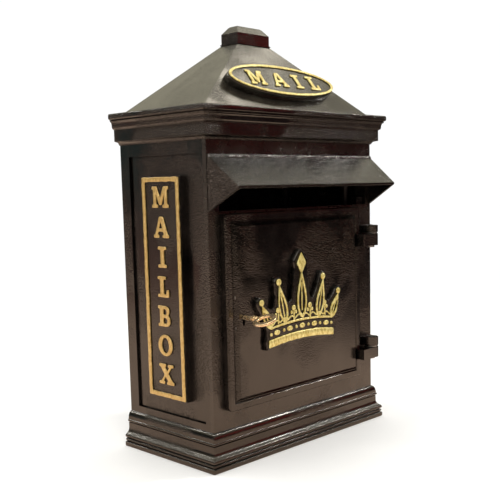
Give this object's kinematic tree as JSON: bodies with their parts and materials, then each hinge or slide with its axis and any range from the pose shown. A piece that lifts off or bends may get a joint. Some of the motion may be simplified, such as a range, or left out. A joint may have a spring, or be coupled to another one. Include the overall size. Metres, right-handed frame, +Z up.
{
  "type": "wall mounted mailbox",
  "caption": "Cast metal wall mailbox with hipped roof, hooded letter slot, raised plaques, coronet emblem and a side-hung locking door.",
  "frame": {"origin": "centre of the four wall-fixing holes, on the back face that meets the wall", "axes": "+Z up, +Y into the wall, -Y out of the front, +X to the right of a person facing the box"},
  "size_m": [0.277, 0.1835, 0.442],
  "materials": {
    "black_paint": "thick glossy black paint over a cast, faintly pebbled surface",
    "roof_paint": "the same gloss black, catching the sky",
    "gold_paint": "hand-painted bright gold on raised work",
    "ochre_paint": "hand-painted deeper gold on raised letters and borders",
    "brass": "worn brass",
    "zinc_steel": "zinc plated steel"
  },
  "bodies": {
    "case": {"base_plinth": "black_paint", "back_panel": "black_paint", "left_side_panel": "black_paint", "right_side_panel": "black_paint", "front_frame": "black_paint", "cornice": "black_paint", "roof": "roof_paint", "finial": "roof_paint", "finial_nut": "zinc_steel", "hood": "black_paint", "hood_screws": "zinc_steel", "oval_plaque": "roof_paint", "oval_gilding": "gold_paint", "left_plaque": "black_paint", "left_gilding": "ochre_paint", "right_plaque": "black_paint", "right_gilding": "ochre_paint", "plaque_screws": "zinc_steel", "tie_rods": "zinc_steel", "tie_nuts": "zinc_steel", "tie_washers": "zinc_steel", "corner_brackets": "zinc_steel", "bracket_screws": "zinc_steel", "hinge_pins": "zinc_steel", "hinge_washers": "zinc_steel", "strike_plate": "zinc_steel", "strike_screws": "zinc_steel"},
    "door": {"door": "black_paint", "crown_backing": "black_paint", "crown_gilding": "gold_paint", "crown_screws": "zinc_steel", "lock_case": "zinc_steel", "lock_cover": "zinc_steel", "lock_screws": "zinc_steel"},
    "bolt": {"lock_bolt": "brass"},
    "key": {"key": "brass"}
  },
  "joints": [
    {"name": "door_swing", "type": "hinge", "parent": "case", "child": "door", "pos_m": [0.111, -0.1435, -0.025], "axis": [0, 0, 1], "range_deg": [0, 170]},
    {"name": "key_turn", "type": "hinge", "parent": "door", "child": "key", "pos_m": [-0.0915, -0.1325, -0.027], "axis": [0, -1, 0], "range_deg": [-110, 250]},
    {"name": "bolt_slide", "type": "slide", "parent": "door", "child": "bolt", "axis": [-1, 0, 0], "range_m": [-0.00407, 0.00913]}
  ],
  "couplings": [
    {"joint": "bolt_slide", "follows": "key_turn", "m_per_rad": 0.002069}
  ]
}
